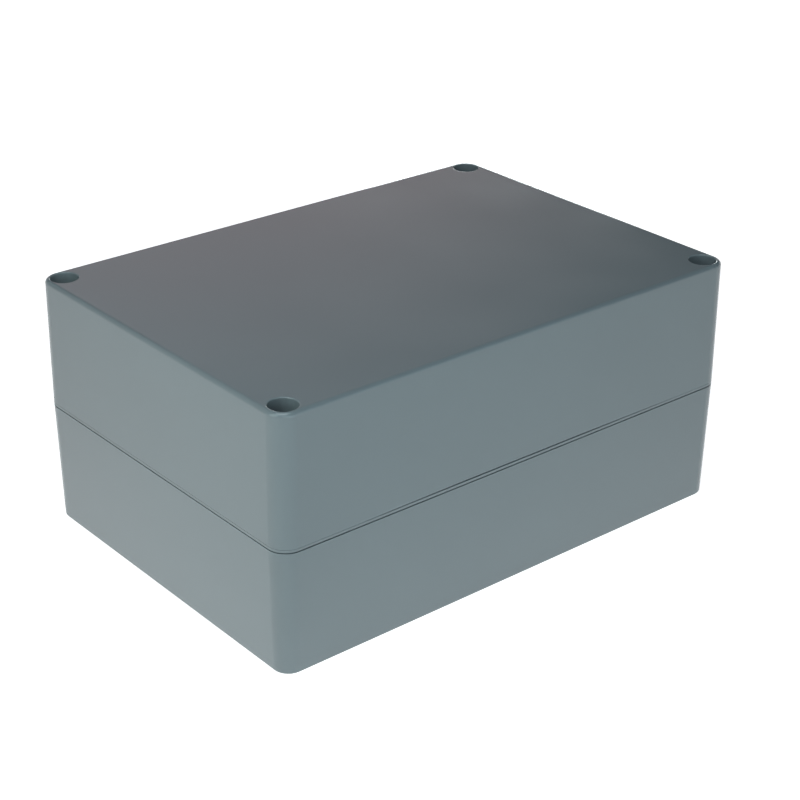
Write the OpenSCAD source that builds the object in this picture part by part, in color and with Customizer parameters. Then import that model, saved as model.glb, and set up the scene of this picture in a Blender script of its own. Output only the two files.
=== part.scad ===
// Sealed two-part instrument enclosure.
// A drafted base and a lid of about the same height close on a gasketed tongue-and-groove seam.
// The lid screws and the wall-mounting holes stand in the corner posts, outside the seal.
// Millimetres, +Z up, origin at the centre of the underside.

/* [Overall size] */
// Length over the seam, along X
length = 171; // [120:1:260]
// Width over the seam, along Y
width = 121; // [90:1:200]
// Height of the lid above its rim
lid_height = 40; // [30:1:80]
// Height of the base's outer wall
base_height = 39.95; // [30:0.05:80]
// Gap between the rims of the base and the lid
seam_gap = 0.05; // [0.05:0.05:0.5]
// Radius of the upright corners at the seam
corner_r = 6; // [3:0.5:8]

/* [Walls and edges] */
// Thickness of the side walls
wall = 3.5; // [3.2:0.1:5]
// Thickness of the base's floor
floor_t = 3.5; // [2.5:0.1:6]
// Thickness of the lid's roof
roof_t = 3.5; // [2.5:0.1:6]
// Draft of the base's walls, in degrees
base_draft = 1.2; // [0.5:0.1:2]
// Draft of the lid's walls, in degrees
lid_draft = 0.4; // [0.2:0.1:2]
// Radius round the lid's top face
top_edge_r = 1.3; // [0.5:0.1:3]
// Radius round the base's underside
bottom_edge_r = 1; // [0.5:0.1:3]
// Radius on the two outer edges of the seam
seam_edge_r = 0.05; // [0.05:0.05:0.3]
// Height of the base's rim above the shadow groove
rim_band_h = 0.8; // [0.6:0.1:3]
// Height of the shadow groove round the base
shadow_h = 0.36; // [0.2:0.02:1]
// Depth of the shadow groove
shadow_depth = 0.6; // [0.3:0.1:1]
// Relief in the middle of the lid's long rims, so that the screws press the corners first
rim_relief = 0.3; // [0.1:0.05:0.5]
// Radius between the walls and the floor inside
inner_edge_r = 1.5; // [0.5:0.1:3]

/* [Seal] */
// Width of the groove in the lid's rim
groove_w = 1.9; // [1.5:0.1:2.2]
// Clearance on each side of the tongue
tongue_clearance = 0.3; // [0.2:0.05:0.4]
// How far the tongue enters the groove
tongue_entry = 2.4; // [1.5:0.1:4]
// Height of the gasket, pressed
gasket_h = 2.2; // [1.2:0.1:3]
// Clearance on each side of the gasket
gasket_clearance = 0.1; // [0.05:0.05:0.3]

/* [Lid screws] */
// Mouth diameter of the screw wells
well_d = 8.4; // [7.8:0.1:10]
// Taper of the wells, in degrees
well_draft = 0.3; // [0.1:0.1:0.5]
// Radius round a well's mouth
well_edge_r = 0.35; // [0.2:0.05:0.8]
// Plastic between a well and the outer faces
well_wall = 1.8; // [1.5:0.1:3]
// Plastic between a well and the groove
post_skin = 1; // [0.8:0.1:2]
// Thickness of the web under a screw head
web_t = 4; // [3:0.5:8]
// Thread diameter of the screws, over the crests
thread_d = 3.9; // [3.4:0.1:4.2]
// Length of a screw under its head
screw_length = 16; // [12:1:24]
// Diameter of the cheese head
head_d = 7; // [6:0.1:7.4]
// Height of the cheese head
head_h = 2.6; // [2:0.1:4]
// Radial clearance of a screw in the lid's web
web_clearance = 0.3; // [0.2:0.05:0.6]

/* [Threaded inserts] */
// Outer diameter of an insert
insert_d = 5.6; // [5.2:0.1:6.4]
// Length of an insert
insert_length = 8; // [6:0.5:12]
// Radial clearance of a screw in an insert
thread_clearance = 0.1; // [0.05:0.05:0.2]
// Depth of an insert below its seat's face
insert_sink = 0.3; // [0.1:0.1:1]

/* [Wall mounting] */
// Distance from a lid screw to the mounting hole beside it
mount_offset = 11; // [9:0.5:20]
// Diameter of a mounting hole
mount_hole_d = 4.4; // [3.2:0.1:5.5]
// Diameter of the well above a mounting hole
mount_well_d = 8.2; // [7:0.1:9]
// Thickness under the head of a mounting screw
mount_floor = 4; // [3:0.5:8]

/* [Board bosses] */
// Distance from a boss to the lid screw beside it, along X
boss_offset = 14.5; // [12:0.5:40]
// Room between a boss and the corner post beside it, along Y
boss_gap = 3.1; // [2.6:0.1:12]
// Diameter at the top of a boss
boss_d = 7; // [5:0.5:9]
// Height of a boss above the floor
boss_h = 6; // [3:0.5:12]
// Pilot hole for a self-tapping screw
boss_pilot_d = 2.5; // [2:0.1:3.2]
// Floor left under a pilot hole
boss_pilot_floor = 2; // [1.5:0.1:2.4]

/* [Hidden] */
$fn = 64;
overlap = 1;
arc_margin = 0.0002;
half_l = length / 2;
half_w = width / 2;
seam_top = base_height + seam_gap;

// Lid screws and the mounting holes beside them, in the corner at +X +Y
screw_inset = well_d / 2 + well_wall;
screw_x = half_l - screw_inset;
post_y = half_w - screw_inset;
mount_x = screw_x - mount_offset;

// Centre line of the seal: along the middle of the walls and round the inside of the posts
seal_inset = wall / 2;
turn_r = screw_inset - seal_inset;
post_seal_r = max(well_d, mount_well_d) / 2 + post_skin + groove_w / 2;
tongue_w = groove_w - 2 * tongue_clearance;
groove_depth = tongue_entry + gasket_h;

// Centres of the seal's turns: off the long wall, level with the screws, and off the short wall
turn_x = mount_x - post_seal_r - turn_r;
end_turn_x = half_l - seal_inset - turn_r;
end_turn_y = post_y - post_seal_r - turn_r;

// The hollow runs half a wall inside the seal
post_r = post_seal_r + wall / 2;
hollow_turn_r = turn_r - wall / 2;

// Board boss in the corner at +X +Y
boss_x = screw_x - boss_offset;
boss_y = post_y - post_r - boss_gap - boss_d / 2;

// Small features of the screws and inserts
head_edge_r = 0.5;
head_taper = 0.2;
tip_chamfer = 0.6;
recess_d = 4.4;
recess_w = 1.1;
recess_depth = 1.5;
recess_bottom_d = 1.6;
seat_ring_w = 1;
insert_waist_depth = 0.3;
insert_waist_h = 1.2;
insert_chamfer = 0.4;
tip_room = 2;

plastic = [0.43, 0.47, 0.49];
rubber = [0.12, 0.12, 0.12];
steel = [0.75, 0.76, 0.78];
brass = [0.78, 0.62, 0.30];

CORNERS = [
    ["front_left", -1, -1],
    ["front_right", 1, -1],
    ["rear_left", -1, 1],
    ["rear_right", 1, 1]
];

// Outlines

// Coordinates are kept to a ten-thousandth of a millimetre, so that neighbours meet exactly
function fine(v) = [for (x = v) round(x * 10000) / 10000];

// Unit vector from one point to another
function heading(from, to) = (to - from) / norm(to - from);

// Half of the angle at a corner p between the neighbours a and b
function half_angle(a, p, b) = acos(heading(p, a) * heading(p, b)) / 2;

// Where a corner's arc of radius r meets the side towards the neighbour a
function arc_end(a, p, b, r) = p + heading(p, a) * r / tan(half_angle(a, p, b));

// Centre of a corner's arc of radius r
function arc_centre(a, p, b, r) =
    let (inward = heading(p, a) + heading(p, b))
    fine(p + inward / norm(inward) * r / sin(half_angle(a, p, b)));

// Convex outline with its own radius at each corner, 0 for a sharp one.
// Each corner is cut away round a circle that just crosses both of its sides.
module rounded_outline(points, radii) {
    count = len(points);
    difference() {
        polygon([for (point = points) fine(point)]);
        for (i = [0 : count - 1])
            if (radii[i] > 0)
                corner_cut(points[(i + count - 1) % count], points[i], points[(i + 1) % count], radii[i]);
    }
}

// What a corner p between the neighbours a and b loses to an arc of radius r
module corner_cut(a, p, b, r) {
    centre = arc_centre(a, p, b, r);
    function outward(point) = fine(centre + 2 * (point - centre));
    difference() {
        polygon([centre, outward(arc_end(a, p, b, r)), outward(p), outward(arc_end(b, p, a, r))]);
        translate(centre)
            circle(r + arc_margin);
    }
}

// Drafted shells, drawn with the rim at z = 0 and the closed end at z = height

// Repeats its children in the four corners, from the one at +X +Y
module each_corner() {
    for (corner = CORNERS)
        at_corner(corner)
            children();
}

module at_corner(corner) {
    mirror([corner[1] < 0 ? 1 : 0, 0, 0])
        mirror([0, corner[2] < 0 ? 1 : 0, 0])
            children();
}

// Block with drafted sides, upright corner arcs and rounded edges at both ends
module drafted_block(height, draft, rim_r, end_r) {
    core_x = half_l - corner_r;
    core_y = half_w - corner_r;
    end_reach = corner_r - height * tan(draft);
    half_outline = [[0, 0], [corner_r, 0], [end_reach, height], [0, height]];
    half_radii = [0, rim_r, end_r, 0];
    side = core_y + corner_r;
    end_side = core_y + end_reach;

    rotate([90, 0, 90])
        linear_extrude(2 * core_x, center = true)
            rounded_outline(
                [[-side, 0], [side, 0], [end_side, height], [-end_side, height]],
                [rim_r, rim_r, end_r, end_r]
            );
    for (end = [0, 1])
        mirror([end, 0, 0])
            translate([core_x, 0, 0])
                rotate([90, 0, 0])
                    linear_extrude(2 * core_y, center = true)
                        rounded_outline(half_outline, half_radii);
    each_corner()
        translate([core_x, core_y, 0])
            rotate_extrude(angle = 90)
                rounded_outline(half_outline, half_radii);
}

// Hollow inside a shell: drafted walls, turns and corner posts, and a rounded floor edge.
// Slabs and quarter turns meet on shared planes through the centres of the turns.
module hollow(depth, draft) {
    rotate([90, 0, 90])
        linear_extrude(2 * turn_x, center = true)
            hollow_outline(half_w - wall, depth, draft);
    for (end = [0, 1])
        mirror([end, 0, 0]) {
            difference() {
                translate([turn_x, -post_y, -overlap])
                    cube([mount_x - turn_x, 2 * post_y, depth + overlap]);
                for (side = [0, 1])
                    mirror([0, side, 0])
                        translate([mount_x, post_y, 0]) {
                            rotate_extrude(angle = 90, start = 180)
                                post_outline(depth, draft);
                            translate([0, 0, -2 * overlap])
                                cylinder(d = mount_well_d, h = depth + 3 * overlap);
                        }
            }
            translate([mount_x, 0, 0])
                rotate([90, 0, 90])
                    linear_extrude(end_turn_x - mount_x)
                        hollow_outline(post_y - post_r, depth, draft);
            translate([end_turn_x, 0, 0])
                rotate([90, 0, 0])
                    linear_extrude(2 * end_turn_y, center = true)
                        turn_outline(depth, draft);
        }
    each_corner()
        for (centre = [[turn_x, post_y], [end_turn_x, end_turn_y]])
            translate(centre)
                rotate_extrude(angle = 90)
                    turn_outline(depth, draft);
}

// Radius round the floor inside, held to what the drafted turns leave room for
function floor_edge_r(depth, draft) =
    min(inner_edge_r, 0.8 * (hollow_turn_r - depth * tan(draft)));

module hollow_outline(reach, depth, draft) {
    mouth = reach + overlap * tan(draft);
    end = reach - depth * tan(draft);
    edge_r = floor_edge_r(depth, draft);
    rounded_outline(
        [[-mouth, -overlap], [mouth, -overlap], [end, depth], [-end, depth]],
        [0, 0, edge_r, edge_r]
    );
}

// Half of the hollow's outline, from the centre of a turn outwards
module turn_outline(depth, draft) {
    mouth = hollow_turn_r + overlap * tan(draft);
    end = hollow_turn_r - depth * tan(draft);
    rounded_outline(
        [[0, -overlap], [mouth, -overlap], [end, depth], [0, depth]],
        [0, 0, floor_edge_r(depth, draft), 0]
    );
}

// Half of a post's outline, from its mounting hole out to the centre of the turn beside it
module post_outline(depth, draft) {
    span = mount_x - turn_x;
    difference() {
        translate([0, -overlap])
            square([span, depth + overlap]);
        translate([span, 0])
            mirror([1, 0])
                turn_outline(depth, draft);
    }
}

// Sweeps a flat section along the whole seal
module along_seal() {
    for (side = [0, 1]) {
        mirror([0, side, 0])
            translate([0, half_w - seal_inset, 0])
                rotate([90, 0, 90])
                    linear_extrude(2 * turn_x, center = true)
                        children();
        mirror([side, 0, 0])
            translate([half_l - seal_inset, 0, 0])
                rotate([90, 0, 0])
                    linear_extrude(2 * end_turn_y, center = true)
                        children();
    }
    each_corner() {
        for (centre = [[turn_x, post_y], [end_turn_x, end_turn_y]])
            translate(centre)
                rotate_extrude(angle = 90)
                    translate([turn_r, 0])
                        children();
        translate([mount_x, post_y, 0])
            rotate_extrude(angle = 90, start = 180)
                translate([post_seal_r, 0])
                    children();
        translate([mount_x, post_y - post_seal_r, 0])
            rotate([90, 0, 90])
                linear_extrude(end_turn_x - mount_x)
                    children();
    }
}

// Screw well seen from its mouth at z = 0, going down
module screw_well(depth) {
    mouth = well_d / 2;
    end = mouth - (depth - well_edge_r) * tan(well_draft);
    rotate_extrude() {
        polygon([[0, overlap], [mouth, overlap], [mouth, -well_edge_r], [end, -depth], [0, -depth]]);
        difference() {
            translate([0, -well_edge_r])
                square([mouth + well_edge_r, well_edge_r + overlap]);
            translate([mouth + well_edge_r, -well_edge_r])
                circle(well_edge_r);
            translate([mouth + well_edge_r - overlap, 0])
                square([2 * overlap, 2 * overlap]);
        }
    }
}

// Pieces

module base() {
    color(plastic)
        difference() {
            union() {
                translate([0, 0, base_height])
                    mirror([0, 0, 1])
                        difference() {
                            drafted_block(base_height, base_draft, seam_edge_r, bottom_edge_r);
                            hollow(base_height - floor_t, base_draft);
                        }
                translate([0, 0, base_height])
                    along_seal()
                        translate([-tongue_w / 2, 0])
                            square([tongue_w, seam_gap + tongue_entry]);
                each_corner()
                    translate([screw_x, post_y, base_height])
                        cylinder(d = insert_d + 2 * seat_ring_w, h = seam_gap);
                board_bosses();
            }
            shadow_groove();
            each_corner() {
                insert_pocket();
                mounting_hole();
            }
            boss_pilots();
        }
}

// Thin groove round the outside, just below the rim, that draws the line of the seam
module shadow_groove() {
    x = half_l - shadow_depth;
    y = half_w - shadow_depth;
    r = corner_r - shadow_depth;
    translate([0, 0, base_height - rim_band_h - shadow_h])
        linear_extrude(shadow_h)
            difference() {
                square([length + 2 * overlap, width + 2 * overlap], center = true);
                rounded_outline([[-x, -y], [x, -y], [x, y], [-x, y]], [r, r, r, r]);
            }
}

// Pocket for a threaded insert, with room below it for the screw's tip
module insert_pocket() {
    pocket = insert_sink + insert_length;
    reach = screw_length - web_t + tip_room;
    translate([screw_x, post_y, seam_top]) {
        translate([0, 0, -pocket])
            cylinder(d = insert_d, h = pocket + overlap);
        translate([0, 0, -reach])
            cylinder(d = thread_d + 2 * thread_clearance, h = reach);
    }
}

module mounting_hole() {
    translate([mount_x, post_y, 0]) {
        translate([0, 0, -overlap])
            cylinder(d = mount_hole_d, h = mount_floor + 2 * overlap);
        translate([0, 0, mount_floor])
            cylinder(d = mount_well_d, h = base_height);
    }
}

module each_boss() {
    each_corner()
        translate([boss_x, boss_y, 0])
            children();
}

module board_bosses() {
    each_boss()
        translate([0, 0, floor_t - overlap])
            cylinder(
                d1 = boss_d + 2 * (boss_h + overlap) * tan(base_draft),
                d2 = boss_d,
                h = boss_h + overlap
            );
}

module boss_pilots() {
    each_boss()
        translate([0, 0, boss_pilot_floor])
            cylinder(d = boss_pilot_d, h = floor_t + boss_h);
}

module lid() {
    color(plastic)
        translate([0, 0, seam_top])
            difference() {
                drafted_block(lid_height, lid_draft, seam_edge_r, top_edge_r);
                hollow(lid_height - roof_t, lid_draft);
                rim_relief_cut();
                along_seal()
                    translate([-groove_w / 2, -overlap])
                        square([groove_w, groove_depth + overlap]);
                each_corner() {
                    translate([screw_x, post_y, lid_height])
                        screw_well(lid_height - web_t);
                    translate([screw_x, post_y, -overlap])
                        cylinder(d = thread_d + 2 * web_clearance, h = web_t + 2 * overlap);
                    translate([mount_x, post_y, -overlap])
                        cylinder(d = mount_well_d, h = lid_height - roof_t + overlap);
                }
            }
}

// Shallow relief in the rims of the lid's long walls: flat in the middle third, with long run-outs
module rim_relief_cut() {
    flat = mount_x / 3;
    foot = mount_x + (mount_x - flat) * overlap / rim_relief;
    rotate([90, 0, 0])
        linear_extrude(width + 2 * overlap, center = true)
            polygon([[-foot, -overlap], [foot, -overlap], [flat, rim_relief], [-flat, rim_relief]]);
}

// Moulded loop that lies against the bottom of the lid's groove
module gasket() {
    half = groove_w / 2 - gasket_clearance;
    color(rubber)
        translate([0, 0, seam_top + tongue_entry])
            along_seal()
                rounded_outline(
                    [[-half, 0], [half, 0], [half, gasket_h], [-half, gasket_h]],
                    [half / 2, half / 2, 0, 0]
                );
}

// Cheese-head screw with a cross recess, its head seated on the web of the lid
module lid_screw(corner) {
    head_r = head_d / 2;
    shank_r = thread_d / 2;
    color(steel)
        at_corner(corner)
            translate([screw_x, post_y, seam_top + web_t])
                difference() {
                    union() {
                        rotate_extrude()
                            rounded_outline(
                                [[0, 0], [head_r, 0], [head_r - head_taper, head_h], [0, head_h]],
                                [0, 0, head_edge_r, 0]
                            );
                        rotate_extrude()
                            polygon([
                                [0, 0],
                                [shank_r, 0],
                                [shank_r, tip_chamfer - screw_length],
                                [shank_r - tip_chamfer, -screw_length],
                                [0, -screw_length]
                            ]);
                    }
                    cross_recess();
                }
}

module cross_recess() {
    translate([0, 0, head_h - recess_depth])
        intersection() {
            cylinder(d1 = recess_bottom_d, d2 = recess_d, h = recess_depth + overlap);
            union() {
                translate([-recess_d, -recess_w / 2, 0])
                    cube([2 * recess_d, recess_w, 2 * recess_depth]);
                translate([-recess_w / 2, -recess_d, 0])
                    cube([recess_w, 2 * recess_d, 2 * recess_depth]);
            }
        }
}

// Brass bush moulded into a post, with a waist that keeps it from pulling out
module threaded_insert(corner) {
    outer_r = insert_d / 2;
    waist_r = outer_r - insert_waist_depth;
    bore_r = thread_d / 2 + thread_clearance;
    waist_low = (insert_length - insert_waist_h) / 2;
    waist_high = waist_low + insert_waist_h;
    color(brass)
        at_corner(corner)
            translate([screw_x, post_y, seam_top - insert_sink - insert_length])
                rotate_extrude()
                    polygon([
                        [bore_r, 0],
                        [outer_r, 0],
                        [outer_r, waist_low],
                        [waist_r, waist_low],
                        [waist_r, waist_high],
                        [outer_r, waist_high],
                        [outer_r, insert_length],
                        [bore_r + insert_chamfer, insert_length],
                        [bore_r, insert_length - insert_chamfer]
                    ]);
}

base();
lid();
gasket();
for (corner = CORNERS) {
    lid_screw(corner);
    threaded_insert(corner);
}
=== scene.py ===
# %% [markdown]
# # A sealed two-part enclosure, finished in Blender
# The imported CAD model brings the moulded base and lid, the gasket, four screws and four brass inserts.
# This lesson sets up the photographer's camera and a small studio, mixes a procedural finish for every
# material, and models the screws and inserts again, because in CAD their threads and knurls are plain
# cylinders. Everything is in metres and in the frame of the CAD model, so nothing has to be fitted.

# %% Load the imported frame
import math

import bmesh
import bpy
from mathutils import Matrix, Vector


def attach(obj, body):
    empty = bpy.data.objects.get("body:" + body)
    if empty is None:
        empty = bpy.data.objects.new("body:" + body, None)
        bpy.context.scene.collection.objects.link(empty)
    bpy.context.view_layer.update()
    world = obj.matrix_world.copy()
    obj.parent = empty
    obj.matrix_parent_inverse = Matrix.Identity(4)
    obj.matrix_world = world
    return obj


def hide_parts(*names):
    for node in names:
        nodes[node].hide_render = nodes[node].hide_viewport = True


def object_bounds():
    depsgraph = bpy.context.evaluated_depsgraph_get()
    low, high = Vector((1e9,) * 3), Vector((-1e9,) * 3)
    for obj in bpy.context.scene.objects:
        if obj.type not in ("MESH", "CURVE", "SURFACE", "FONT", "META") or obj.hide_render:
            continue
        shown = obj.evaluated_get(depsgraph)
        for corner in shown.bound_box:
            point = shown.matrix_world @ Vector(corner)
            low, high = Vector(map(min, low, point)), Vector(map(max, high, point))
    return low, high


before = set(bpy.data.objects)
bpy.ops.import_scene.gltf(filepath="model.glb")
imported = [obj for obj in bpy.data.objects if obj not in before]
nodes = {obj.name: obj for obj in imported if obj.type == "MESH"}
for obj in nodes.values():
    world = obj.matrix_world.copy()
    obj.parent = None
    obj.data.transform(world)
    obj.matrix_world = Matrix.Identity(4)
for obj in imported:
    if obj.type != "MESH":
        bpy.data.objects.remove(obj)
cad_low, cad_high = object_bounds()
scene = bpy.context.scene
MM = 0.001
print("CAD box in mm:", [round((b - a) / MM, 2) for a, b in zip(cad_low, cad_high)])

# %% [markdown]
# ## The camera
# The box is a drafted cuboid, so its straight edges run to vanishing points and give the camera away:
# it stands a little over half a metre off the near corner, looks down on it, and is tilted by half a
# degree. A camera matrix is written straight from those angles, which is surer than a tracking
# constraint when the horizon isn't quite level.

# %% Place the camera
IMAGE_PX = 800
FOCAL_PX = 1874.8
SENSOR_MM = 36
VIEW_AZIMUTH = math.radians(-39.87)
VIEW_ELEVATION = math.radians(26.15)
VIEW_ROLL = math.radians(0.45)
VIEW_TARGET = Vector((1.43, -4.40, 37.11)) * MM
VIEW_DISTANCE = 581.1 * MM
NEAR_CLIP = 0.01


def view_axes(azimuth, elevation, roll):
    """Right, up and backward directions of a camera; azimuth 0 looks along +Y."""
    flat = math.cos(elevation)
    backward = Vector((math.sin(azimuth) * flat, -math.cos(azimuth) * flat, math.sin(elevation)))
    level = Vector((math.cos(azimuth), math.sin(azimuth), 0))
    upright = backward.cross(level)
    right = math.cos(roll) * level + math.sin(roll) * upright
    return right, backward.cross(right), backward


right, up, backward = view_axes(VIEW_AZIMUTH, VIEW_ELEVATION, VIEW_ROLL)
camera_data = bpy.data.cameras.new("photo_camera")
camera_data.sensor_width = SENSOR_MM
camera_data.lens = FOCAL_PX * SENSOR_MM / IMAGE_PX
camera_data.clip_start = NEAR_CLIP
camera = bpy.data.objects.new("photo_camera", camera_data)
camera.matrix_world = (
    Matrix.Translation(VIEW_TARGET + backward * VIEW_DISTANCE)
    @ Matrix((right, up, backward)).transposed().to_4x4()
)
scene.collection.objects.link(camera)
scene.camera = camera
print("Lens in mm:", round(camera_data.lens, 2), "camera at", [round(x, 3) for x in camera.location])

# %% [markdown]
# ## A helper for node trees
# Every finish below is a small graph of shader nodes. Making nodes one call at a time is wordy, so this
# helper places a node, sets its options, and fills its inputs: a number or colour is written into the
# socket, and another node's output is linked to it.


# %% Node helper
def place(tree, kind, inputs=None, **options):
    """A new node, with its options set and its inputs filled or linked."""
    made = tree.nodes.new(kind)
    for option, value in options.items():
        setattr(made, option, value)
    for name, value in (inputs or {}).items():
        if isinstance(value, bpy.types.NodeSocket):
            tree.links.new(value, made.inputs[name])
        else:
            made.inputs[name].default_value = value
    return made


def new_material(name):
    """A material with an empty node tree and its output."""
    material = bpy.data.materials.new(name)
    material.use_nodes = True
    material.node_tree.nodes.clear()
    return material, material.node_tree, place(material.node_tree, "ShaderNodeOutputMaterial")


scene.view_settings.view_transform = "Standard"
print("View transform:", scene.view_settings.view_transform)

# %% [markdown]
# ## The studio
# A product shot on white. Softboxes stand low on every side, so the upright faces are brighter than the
# top, and a wide one hangs above and shines into the screw wells. The left one is close to the near corner:
# its light falls off along the short side, and its mirror image is the glint on that corner. A smooth top
# seen at a slant mirrors what stands behind it, so a pale glow low behind the box gives the top its soft
# gradient. The floor is white paper that turns up at its edges as a backdrop. A warm light panel under it
# glows round the box and lifts the lower half of the sides. The paper also adds a share of white for the
# camera and for reflections only, so it reads as white without throwing more light on the box, and it keeps
# the shadow.

# %% Softboxes
LIGHT_TARGET = Vector((0, 0, 40)) * MM


def softbox(name, azimuth, elevation, distance, size, watts, tint):
    """A square area lamp that faces the box, placed by its direction from the box."""
    turn = math.radians(azimuth)
    lift = math.radians(elevation)
    towards = Vector((math.cos(turn) * math.cos(lift), math.sin(turn) * math.cos(lift), math.sin(lift)))
    lamp = bpy.data.lights.new(name, "AREA")
    lamp.size = size
    lamp.energy = watts
    lamp.color = tint
    made = bpy.data.objects.new(name, lamp)
    made.location = LIGHT_TARGET + towards * distance
    made.rotation_euler = towards.to_track_quat("Z", "Y").to_euler()
    scene.collection.objects.link(made)


softbox("left_softbox", 190.5, 24.6, 0.28, 0.12, 0.152, (0.82, 1.0, 0.97))
softbox("front_softbox", 235, 21, 0.75, 0.28, 0.48, (0.8, 0.92, 1.0))
softbox("side_softbox", 262, 5, 0.35, 0.2, 0.22, (0.68, 0.95, 1.0))
softbox("right_softbox", 301, 14, 0.9, 0.32, 0.4, (0.74, 0.95, 1.0))
softbox("rear_softbox", 122, 33, 1.0, 0.6, 0.42, (1.0, 0.97, 0.95))
softbox("back_softbox", 45, 2, 0.8, 0.25, 1.7, (0.9, 1.0, 1.0))
softbox("overhead_softbox", 218, 67, 0.6, 0.4, 1.74, (0.85, 0.95, 1.0))
print("Softboxes:", sorted(light.name for light in bpy.data.lights))

# %% Room light
ROOM_LEVEL = (0.01, 0.01, 0.01, 1)
WALL_LEVEL = (0.93, 0.68, 0.7, 1)
WALL_DIRECTION = (0.498, 0.863, 0.087)
WALL_FADE = (0.9, 1.0)
room = bpy.data.worlds.new("room")
scene.world = room
room.use_nodes = True
room.node_tree.nodes.clear()
direction = place(room.node_tree, "ShaderNodeTexCoord")
facing = place(
    room.node_tree, "ShaderNodeVectorMath",
    {0: direction.outputs["Generated"], 1: WALL_DIRECTION}, operation="DOT_PRODUCT",
)
glow = place(
    room.node_tree, "ShaderNodeMapRange",
    {"Value": facing.outputs["Value"], "From Min": WALL_FADE[0], "From Max": WALL_FADE[1]},
    interpolation_type="SMOOTHSTEP",
)
shade = place(
    room.node_tree, "ShaderNodeMix",
    {"Factor": glow.outputs["Result"], "A": ROOM_LEVEL, "B": WALL_LEVEL},
    data_type="RGBA",
)
air = place(room.node_tree, "ShaderNodeBackground", {"Color": shade.outputs["Result"], "Strength": 1.0})
place(room.node_tree, "ShaderNodeOutputWorld", {"Surface": air.outputs["Background"]})
print("Room light goes from", ROOM_LEVEL[0], "to", WALL_LEVEL[0], "on the wall behind")

# %% White floor
FLOOR_SIZE = 12.0
BACKDROP_HEIGHT = 1.5
FLOOR_COLOUR = (0.86, 0.86, 0.86, 1)
FLOOR_WHITE = 0.86
PANEL_GLOW = 0.41
PANEL_TINT = (1.0, 0.9, 0.85, 1)
WHITE = (1, 1, 1, 1)
PANEL_FADE = (0.02, 0.1)

floor_mesh = bpy.data.meshes.new("floor")
shape = bmesh.new()
bmesh.ops.create_grid(shape, x_segments=1, y_segments=1, size=FLOOR_SIZE / 2)
rim = bmesh.ops.extrude_edge_only(shape, edges=shape.edges)
raised = [item for item in rim["geom"] if isinstance(item, bmesh.types.BMVert)]
bmesh.ops.translate(shape, verts=raised, vec=(0, 0, BACKDROP_HEIGHT))
bmesh.ops.recalc_face_normals(shape, faces=shape.faces)
bmesh.ops.reverse_faces(shape, faces=shape.faces)
shape.to_mesh(floor_mesh)
shape.free()
floor = bpy.data.objects.new("floor", floor_mesh)
scene.collection.objects.link(floor)

paper, tree, out = new_material("white_paper")
where = place(tree, "ShaderNodeTexCoord")
side = place(tree, "ShaderNodeVectorMath", {0: where.outputs["Object"]}, operation="ABSOLUTE")
past = place(
    tree, "ShaderNodeVectorMath",
    {0: side.outputs["Vector"], 1: (cad_high[0], cad_high[1], 0)}, operation="SUBTRACT",
)
past = place(tree, "ShaderNodeVectorMath", {0: past.outputs["Vector"], 1: (0, 0, 0)}, operation="MAXIMUM")
away = place(tree, "ShaderNodeVectorMath", {0: past.outputs["Vector"]}, operation="LENGTH")
panel = place(
    tree, "ShaderNodeMapRange",
    {
        "Value": away.outputs["Value"], "From Min": PANEL_FADE[0], "From Max": PANEL_FADE[1],
        "To Min": PANEL_GLOW, "To Max": 0.0,
    },
    interpolation_type="SMOOTHSTEP",
)
ray = place(tree, "ShaderNodeLightPath")
seen = place(
    tree, "ShaderNodeMath",
    {0: ray.outputs["Is Camera Ray"], 1: ray.outputs["Is Glossy Ray"]}, operation="MAXIMUM",
)
seen = place(
    tree, "ShaderNodeMath",
    {0: seen.outputs[0], 1: ray.outputs["Is Transmission Ray"]}, operation="MAXIMUM",
)
share = place(
    tree, "ShaderNodeMix",
    {"Factor": seen.outputs[0], "A": panel.outputs["Result"], "B": FLOOR_WHITE},
)
tint = place(
    tree, "ShaderNodeMix",
    {"Factor": seen.outputs[0], "A": PANEL_TINT, "B": WHITE},
    data_type="RGBA",
)
glowing = place(
    tree, "ShaderNodeEmission",
    {"Color": tint.outputs["Result"], "Strength": share.outputs["Result"]},
)
matt = place(tree, "ShaderNodeBsdfDiffuse", {"Color": FLOOR_COLOUR})
both = place(tree, "ShaderNodeAddShader", {0: matt.outputs[0], 1: glowing.outputs[0]})
tree.links.new(both.outputs[0], out.inputs["Surface"])
floor_mesh.materials.append(paper)
print("Floor is", FLOOR_SIZE, "m square")

# %% [markdown]
# ## Moulded grain
# Injection-moulded plastic and rubber are never perfectly even. The mould's polish leaves a fine grain,
# the melt cools in slow waves, and the gloss drifts a little over a face. Both the shell and the gasket
# need that, so it is one node group: it reads the place on the piece and puts out a height for a Bump
# node, a roughness and a colour. A picture texture could do it too, but noise has no seams and no size.

# %% Moulded grain group
NOISE_RANGE = (0.3, 0.7)


def add_sockets(group, inputs, outputs):
    """Names the sockets on the outside of a node group."""
    for name, kind in inputs.items():
        group.interface.new_socket(name, in_out="INPUT", socket_type=kind)
    for name, kind in outputs.items():
        group.interface.new_socket(name, in_out="OUTPUT", socket_type=kind)


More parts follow.
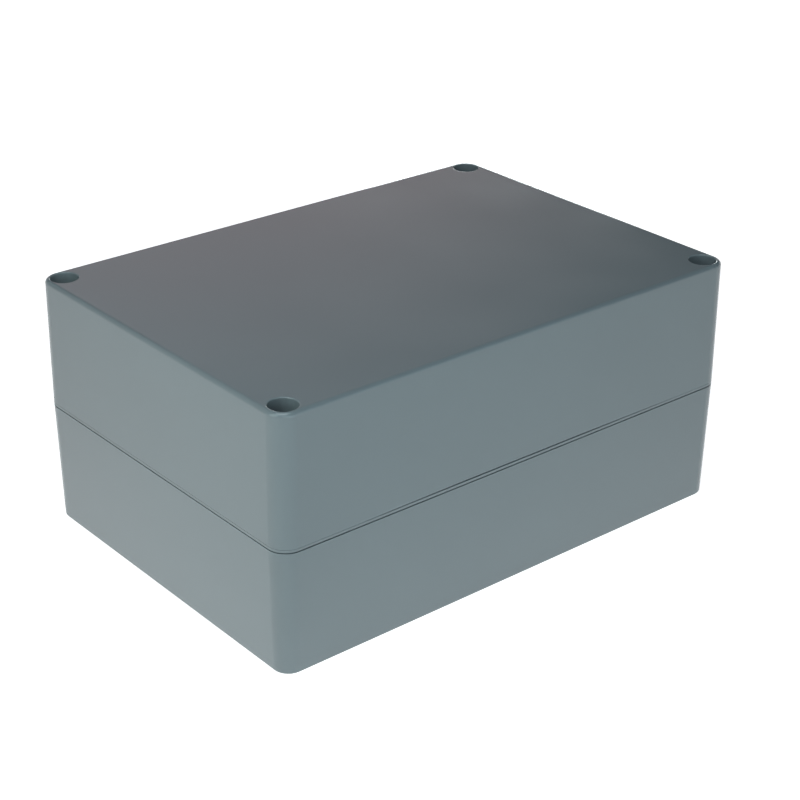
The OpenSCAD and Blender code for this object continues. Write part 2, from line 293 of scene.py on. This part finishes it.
grain = bpy.data.node_groups.new("moulded_grain", "ShaderNodeTree")
add_sockets(
    grain,
    {
        "Grain Scale": "NodeSocketFloat", "Wave Scale": "NodeSocketFloat", "Wave Share": "NodeSocketFloat",
        "Roughness Low": "NodeSocketFloat", "Roughness High": "NodeSocketFloat",
        "Colour A": "NodeSocketColor", "Colour B": "NodeSocketColor",
    },
    {"Height": "NodeSocketFloat", "Roughness": "NodeSocketFloat", "Colour": "NodeSocketColor"},
)
given = place(grain, "NodeGroupInput")
spot = place(grain, "ShaderNodeTexCoord")
fine = place(
    grain, "ShaderNodeTexNoise",
    {"Vector": spot.outputs["Object"], "Scale": given.outputs["Grain Scale"], "Detail": 3.0},
)
wave = place(
    grain, "ShaderNodeTexNoise",
    {"Vector": spot.outputs["Object"], "Scale": given.outputs["Wave Scale"], "Detail": 2.0},
)
height = place(
    grain, "ShaderNodeMath",
    {0: wave.outputs["Fac"], 1: given.outputs["Wave Share"], 2: fine.outputs["Fac"]},
    operation="MULTIPLY_ADD",
)
gloss = place(
    grain, "ShaderNodeMapRange",
    {
        "Value": wave.outputs["Fac"],
        "From Min": NOISE_RANGE[0], "From Max": NOISE_RANGE[1],
        "To Min": given.outputs["Roughness Low"], "To Max": given.outputs["Roughness High"],
    },
)
tone = place(
    grain, "ShaderNodeMix",
    {"Factor": wave.outputs["Fac"], "A": given.outputs["Colour A"], "B": given.outputs["Colour B"]},
    data_type="RGBA",
)
place(
    grain, "NodeGroupOutput",
    {"Height": height.outputs[0], "Roughness": gloss.outputs["Result"], "Colour": tone.outputs["Result"]},
)
print("Group moulded_grain has", len(grain.nodes), "nodes")

# %% [markdown]
# ## Satin shell plastic
# The shell is slate-grey ABS with the soft shine of a polished mould. A plain Principled BSDF with a
# fairly low roughness carries it; the grain group makes colour, gloss and surface vary by a few per cent,
# which is all that such a face shows at arm's length.


# %% Shell material
def moulded(name, finish, relief_share, relief_depth, ior):
    """A material whose colour, gloss and surface follow the moulded grain."""
    material, tree, out = new_material(name)
    grain_here = place(tree, "ShaderNodeGroup", finish, node_tree=grain)
    relief = place(
        tree, "ShaderNodeBump",
        {"Height": grain_here.outputs["Height"], "Strength": relief_share, "Distance": relief_depth},
    )
    surface = place(
        tree, "ShaderNodeBsdfPrincipled",
        {
            "Base Color": grain_here.outputs["Colour"], "Roughness": grain_here.outputs["Roughness"],
            "Normal": relief.outputs["Normal"], "IOR": ior,
        },
    )
    tree.links.new(surface.outputs["BSDF"], out.inputs["Surface"])
    return material


def dress(node, material):
    """Gives a CAD node its material."""
    for slot in nodes[node].material_slots:
        slot.material = material


shell_finish = {
    "Grain Scale": 3200.0, "Wave Scale": 26.0, "Wave Share": 4.0,
    "Roughness Low": 0.15, "Roughness High": 0.2,
    "Colour A": (0.172, 0.208, 0.222, 1), "Colour B": (0.184, 0.22, 0.234, 1),
}
shell = moulded("slate_grey_abs", shell_finish, relief_share=0.05, relief_depth=0.00005, ior=1.54)
dress("base", shell)
dress("lid", shell)
print("Shell finish on base and lid")

# %% [markdown]
# ## Rubber for the gasket
# The gasket is a moulded loop of black EPDM that is only seen with the lid off. It is the same grain group
# with a coarser grain and a dull, nearly black colour, which is why the group takes its numbers as inputs.

# %% Gasket material
rubber_finish = {
    "Grain Scale": 2600.0, "Wave Scale": 90.0, "Wave Share": 1.0,
    "Roughness Low": 0.55, "Roughness High": 0.72,
    "Colour A": (0.016, 0.016, 0.017, 1), "Colour B": (0.03, 0.03, 0.031, 1),
}
rubber = moulded("black_epdm", rubber_finish, relief_share=0.25, relief_depth=0.0001, ior=1.52)
dress("gasket", rubber)
print("Rubber on the gasket")

# %% [markdown]
# ## Where the screws stand
# The screws and inserts share four axes. Their places are measured from the CAD nodes instead of being
# typed in again, so the new pieces follow if the part is resized.


# %% Measure the screw axes
def box_of(node):
    """Lowest and highest corner of a node's mesh in metres."""
    points = [nodes[node].matrix_world @ vertex.co for vertex in nodes[node].data.vertices]
    return Vector(map(min, *points)), Vector(map(max, *points))


CORNER_NAMES = ("front_left", "front_right", "rear_left", "rear_right")
screw_low, screw_high = box_of("lid_screw_rear_right")
insert_low, _ = box_of("threaded_insert_rear_right")
axis_x, axis_y = ((screw_low + screw_high) / 2).xy
print("Screw axes at x, y in mm:", round(axis_x / MM, 2), round(axis_y / MM, 2))

# %% [markdown]
# ## Turning marks
# Screws and bushes are turned and rolled, and the tool leaves rings round their axis. The box is the same
# in all four corners, so the absolute value of a place folds the corners onto one another, and the
# distance from that one axis is the radius of a ring. A noise that runs along radius and height then draws
# the rings. Steel and brass share this group and differ in colour and shine.

# %% Turning marks group
marks = bpy.data.node_groups.new("turning_marks", "ShaderNodeTree")
add_sockets(
    marks,
    {
        "Ring Scale": "NodeSocketFloat",
        "Roughness Low": "NodeSocketFloat", "Roughness High": "NodeSocketFloat",
        "Colour A": "NodeSocketColor", "Colour B": "NodeSocketColor",
    },
    {"Height": "NodeSocketFloat", "Roughness": "NodeSocketFloat", "Colour": "NodeSocketColor"},
)
given = place(marks, "NodeGroupInput")
spot = place(marks, "ShaderNodeTexCoord")
folded = place(marks, "ShaderNodeVectorMath", {0: spot.outputs["Object"]}, operation="ABSOLUTE")
offset = place(
    marks, "ShaderNodeVectorMath",
    {0: folded.outputs["Vector"], 1: (axis_x, axis_y, 0)}, operation="SUBTRACT",
)
parts = place(marks, "ShaderNodeSeparateXYZ", {"Vector": offset.outputs["Vector"]})
flat = place(
    marks, "ShaderNodeVectorMath",
    {0: offset.outputs["Vector"], 1: (1, 1, 0)}, operation="MULTIPLY",
)
radius = place(marks, "ShaderNodeVectorMath", {0: flat.outputs["Vector"]}, operation="LENGTH")
ring_place = place(marks, "ShaderNodeCombineXYZ", {"X": radius.outputs["Value"], "Z": parts.outputs["Z"]})
rings = place(
    marks, "ShaderNodeTexNoise",
    {"Vector": ring_place.outputs["Vector"], "Scale": given.outputs["Ring Scale"], "Detail": 2.0},
)
gloss = place(
    marks, "ShaderNodeMapRange",
    {
        "Value": rings.outputs["Fac"],
        "From Min": NOISE_RANGE[0], "From Max": NOISE_RANGE[1],
        "To Min": given.outputs["Roughness Low"], "To Max": given.outputs["Roughness High"],
    },
)
tone = place(
    marks, "ShaderNodeMix",
    {"Factor": rings.outputs["Fac"], "A": given.outputs["Colour A"], "B": given.outputs["Colour B"]},
    data_type="RGBA",
)
place(
    marks, "NodeGroupOutput",
    {"Height": rings.outputs["Fac"], "Roughness": gloss.outputs["Result"], "Colour": tone.outputs["Result"]},
)
print("Group turning_marks has", len(marks.nodes), "nodes")


# %% Steel and brass
def turned_metal(name, dark, light, roughness):
    """A metal whose colour, shine and surface follow the turning marks."""
    metal, tree, out = new_material(name)
    marks_here = place(
        tree, "ShaderNodeGroup",
        {
            "Ring Scale": 2400.0, "Roughness Low": roughness[0], "Roughness High": roughness[1],
            "Colour A": dark, "Colour B": light,
        },
        node_tree=marks,
    )
    relief = place(
        tree, "ShaderNodeBump",
        {"Height": marks_here.outputs["Height"], "Strength": 0.2, "Distance": 0.00005},
    )
    surface = place(
        tree, "ShaderNodeBsdfPrincipled",
        {
            "Base Color": marks_here.outputs["Colour"], "Roughness": marks_here.outputs["Roughness"],
            "Normal": relief.outputs["Normal"], "Metallic": 1.0,
        },
    )
    tree.links.new(surface.outputs["BSDF"], out.inputs["Surface"])
    return metal


steel = turned_metal("stainless_steel", (0.5, 0.51, 0.53, 1), (0.62, 0.63, 0.64, 1), (0.26, 0.38))
brass = turned_metal("turned_brass", (0.60, 0.43, 0.19, 1), (0.72, 0.53, 0.25, 1), (0.24, 0.36))
print("Metals:", steel.name, "and", brass.name)

# %% [markdown]
# ## Threads
# A thread is one tooth's outline carried along a helix. The spin operator does exactly that when every
# step also lifts the outline by its share of the pitch: after a full turn the outline's foot lands on
# the head of the turn before, and merging doubles welds the turns into one skin. The flank and the crest
# of the tooth are given as shares of the pitch. The skin is made too long, cut off flat at both ends and
# capped. Turning to the left while rising gives the usual right-hand thread, so the finished mesh is
# moved to each corner and never mirrored.

# %% Threaded rod
PITCH = 0.7
STEPS_PER_TURN = 40
FLANK_START = 0.25
CREST_START = 0.56
CREST_END = 0.69
WELD = 1e-7


def threaded_rod(root_r, crest_r, low, high):
    """A solid rod along Z in mm with a right-hand thread between two heights."""
    shape = bmesh.new()
    crest = ((crest_r, CREST_START), (crest_r, CREST_END))
    tooth = ((root_r, 0), (root_r, FLANK_START), *crest, (root_r, 1))
    start = low - PITCH
    corners = [shape.verts.new((r * MM, 0, (start + share * PITCH) * MM)) for r, share in tooth]
    sides = [shape.edges.new(pair) for pair in zip(corners, corners[1:])]
    turns = math.ceil((high - low) / PITCH) + 2
    bmesh.ops.spin(
        shape, geom=corners + sides, axis=(0, 0, 1), cent=(0, 0, 0),
        dvec=(0, 0, PITCH * MM / STEPS_PER_TURN),
        angle=math.tau * turns, steps=STEPS_PER_TURN * turns,
    )
    bmesh.ops.remove_doubles(shape, verts=shape.verts, dist=WELD)
    for height, outward in ((low, -1), (high, 1)):
        everything = shape.verts[:] + shape.edges[:] + shape.faces[:]
        bmesh.ops.bisect_plane(
            shape, geom=everything, plane_co=(0, 0, height * MM), plane_no=(0, 0, outward), clear_outer=True,
        )
    bmesh.ops.holes_fill(shape, edges=[edge for edge in shape.edges if edge.is_boundary], sides=0)
    bmesh.ops.recalc_face_normals(shape, faces=shape.faces)
    return shape


# %% [markdown]
# ## Turned bodies and Boolean joins
# Heads and bushes are turned parts, so spinning half of their section makes them. Boolean modifiers join and
# cut the bodies, and each result is written back as a plain mesh. A finished model is then copied to the four
# corners, with its place in the mesh itself, where it stands in for the CAD node.

# %% Turned bodies and Boolean joins
SHARP_ANGLE = math.radians(32)


def turned(outline, segments):
    """A solid turned round Z from an outline of (radius, height) points in mm."""
    shape = bmesh.new()
    corners = [shape.verts.new((r * MM, 0, z * MM)) for r, z in outline]
    sides = [shape.edges.new(pair) for pair in zip(corners, corners[1:])]
    bmesh.ops.spin(
        shape, geom=corners + sides, axis=(0, 0, 1), cent=(0, 0, 0),
        angle=math.tau, steps=segments, use_merge=True,
    )
    bmesh.ops.remove_doubles(shape, verts=shape.verts, dist=WELD)
    bmesh.ops.recalc_face_normals(shape, faces=shape.faces)
    return shape


def as_object(shape, name):
    """Writes a shape into a new object in the scene."""
    mesh = bpy.data.meshes.new(name)
    shape.to_mesh(mesh)
    shape.free()
    made = bpy.data.objects.new(name, mesh)
    scene.collection.objects.link(made)
    return made


def combine(target, tool, operation):
    """Applies a Boolean to the target for good and removes the tool."""
    boolean = target.modifiers.new("combine", "BOOLEAN")
    boolean.object = tool
    boolean.operation = operation
    boolean.solver = "EXACT"
    graph = bpy.context.evaluated_depsgraph_get()
    before = target.data
    target.data = bpy.data.meshes.new_from_object(target.evaluated_get(graph))
    target.modifiers.clear()
    bpy.data.meshes.remove(before)
    used = tool.data
    bpy.data.objects.remove(tool)
    bpy.data.meshes.remove(used)


def place_copies(model, prefix, body, foot, material):
    """Sets a copy of a model on each axis in place of the CAD node, then drops the model."""
    shape = bmesh.new()
    shape.from_mesh(model.data)
    bmesh.ops.remove_doubles(shape, verts=shape.verts, dist=WELD)
    shape.to_mesh(model.data)
    shape.free()
    model.data.shade_smooth()
    model.data.set_sharp_from_angle(angle=SHARP_ANGLE)
    model.data.materials.clear()
    model.data.materials.append(material)
    for corner in CORNER_NAMES:
        low, high = box_of(prefix + corner)
        centre = (low + high) / 2
        mesh = model.data.copy()
        mesh.transform(Matrix.Translation((centre.x, centre.y, foot)))
        piece = bpy.data.objects.new(prefix + corner + "_detail", mesh)
        scene.collection.objects.link(piece)
        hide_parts(prefix + corner)
        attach(piece, body.format(corner))
    count = sum(len(polygon.vertices) - 2 for polygon in model.data.polygons)
    print(prefix + "*:", count, "triangles each")
    bpy.data.objects.remove(model)


# %% [markdown]
# ## The lid screws
# A cheese-head screw is a turned head on a rolled thread, with a cross struck into it. The head is turned
# from its outline, the rod comes from the thread above, and the end of the rod is squeezed to a cone so
# that it finds the insert. The cross is two tapered bars that are cut out of the head one after the other.
# Bodies that join or cut reach past each other by an overshoot, because Booleans are surest on skins that
# cross.

# %% Lid screw
HEAD_R = 3.5
HEAD_TAPER = 0.2
HEAD_H = 2.6
HEAD_EDGE_R = 0.5
SHANK_R = 1.95
SHANK_ROOT_R = 1.53
SHANK_LENGTH = 16
TIP_CHAMFER = 0.6
RECESS_W = 1.1
RECESS_DEPTH = 1.5
RECESS_REACH = (0.8, 2.2)
ARC_STEPS = 6
HEAD_SEGMENTS = 64
OVERSHOOT = 0.4

edge_centre = (HEAD_R - HEAD_TAPER - HEAD_EDGE_R, HEAD_H - HEAD_EDGE_R)
head_outline = [(0, 0), (HEAD_R, 0)]
for step in range(ARC_STEPS + 1):
    angle = math.radians(90 * step / ARC_STEPS)
    head_outline.append(
        (edge_centre[0] + HEAD_EDGE_R * math.cos(angle), edge_centre[1] + HEAD_EDGE_R * math.sin(angle))
    )
head_outline.append((0, HEAD_H))
screw = as_object(turned(head_outline, HEAD_SEGMENTS), "screw_model")

rod = threaded_rod(SHANK_ROOT_R, SHANK_R, -SHANK_LENGTH, OVERSHOOT)
for vertex in rod.verts:
    reach = vertex.co.xy.length
    limit = (SHANK_R - TIP_CHAMFER) * MM + vertex.co.z + SHANK_LENGTH * MM
    if reach > limit:
        vertex.co.xy *= limit / reach
combine(screw, as_object(rod, "screw_rod"), "UNION")

for turn in (0, 90):
    bar = bmesh.new()
    bmesh.ops.create_cube(bar, size=1)
    for vertex in bar.verts:
        top = vertex.co.z > 0
        slope = (RECESS_REACH[1] - RECESS_REACH[0]) / RECESS_DEPTH
        reach = RECESS_REACH[1] + slope * OVERSHOOT if top else RECESS_REACH[0]
        height = HEAD_H + OVERSHOOT if top else HEAD_H - RECESS_DEPTH
        vertex.co = Vector((vertex.co.x * 2 * reach, vertex.co.y * RECESS_W, height)) * MM
    bmesh.ops.rotate(bar, verts=bar.verts, matrix=Matrix.Rotation(math.radians(turn), 3, "Z"))
    bmesh.ops.recalc_face_normals(bar, faces=bar.faces)
    combine(screw, as_object(bar, "recess_bar"), "DIFFERENCE")

head_seat = screw_high.z - HEAD_H * MM
place_copies(screw, "lid_screw_", "screw_{}", head_seat, steel)

# %% [markdown]
# ## The threaded inserts
# The brass bushes are moulded into the posts, and two bands of slanting teeth on either side of a waist
# keep them from turning and from pulling out. The body is turned with rings to spare in each band; then
# every second column of vertices is pushed in, and each band is twisted, one to the left and one to the
# right. A rod like that of the screw, a little wider, cuts the thread, so the screw turns freely in it.

# %% Threaded insert
INSERT_R = 2.8
INSERT_WAIST_R = 2.5
INSERT_FOOT_R = 2.62
INSERT_LENGTH = 8
INSERT_TEETH = 36
TOOTH_DEPTH = 0.13
TOOTH_TWIST = math.radians(9) / MM
BANDS = ((0.25, 3.2), (4.8, 7.75))
BAND_RINGS = 6
BORE_R = 2.05
BORE_ROOT_R = 2.32
MOUTH_CHAMFER = 0.4
WAIST_SLOPE = 0.2
SKIN_MARGIN = 0.01

insert_outline = [(0, 0), (INSERT_FOOT_R, 0)]
for low, high in BANDS:
    for ring in range(BAND_RINGS + 1):
        insert_outline.append((INSERT_R, low + (high - low) * ring / BAND_RINGS))
    if high < INSERT_LENGTH / 2:
        insert_outline.append((INSERT_WAIST_R, high + WAIST_SLOPE))
        insert_outline.append((INSERT_WAIST_R, BANDS[1][0] - WAIST_SLOPE))
insert_outline += [(INSERT_FOOT_R, INSERT_LENGTH), (0, INSERT_LENGTH)]
body = turned(insert_outline, 2 * INSERT_TEETH)

for vertex in body.verts:
    reach = vertex.co.xy.length
    if reach < (INSERT_R - SKIN_MARGIN) * MM:
        continue
    column = round(math.atan2(vertex.co.y, vertex.co.x) / math.tau * 2 * INSERT_TEETH)
    if column % 2:
        vertex.co.xy *= 1 - TOOTH_DEPTH / INSERT_R
    upper = vertex.co.z > INSERT_LENGTH / 2 * MM
    middle = sum(BANDS[1 if upper else 0]) / 2 * MM
    slant = TOOTH_TWIST if upper else -TOOTH_TWIST
    vertex.co = Matrix.Rotation(slant * (vertex.co.z - middle), 3, "Z") @ vertex.co
insert = as_object(body, "insert_model")

tap = threaded_rod(BORE_R, BORE_ROOT_R, -OVERSHOOT, INSERT_LENGTH + OVERSHOOT)
combine(insert, as_object(tap, "insert_tap"), "DIFFERENCE")
sink = turned(
    [
        (0, INSERT_LENGTH - MOUTH_CHAMFER),
        (BORE_R, INSERT_LENGTH - MOUTH_CHAMFER),
        (BORE_R + MOUTH_CHAMFER + OVERSHOOT, INSERT_LENGTH + OVERSHOOT),
        (0, INSERT_LENGTH + OVERSHOOT),
    ],
    2 * INSERT_TEETH,
)
combine(insert, as_object(sink, "insert_mouth"), "DIFFERENCE")
place_copies(insert, "threaded_insert_", "base", insert_low.z, brass)
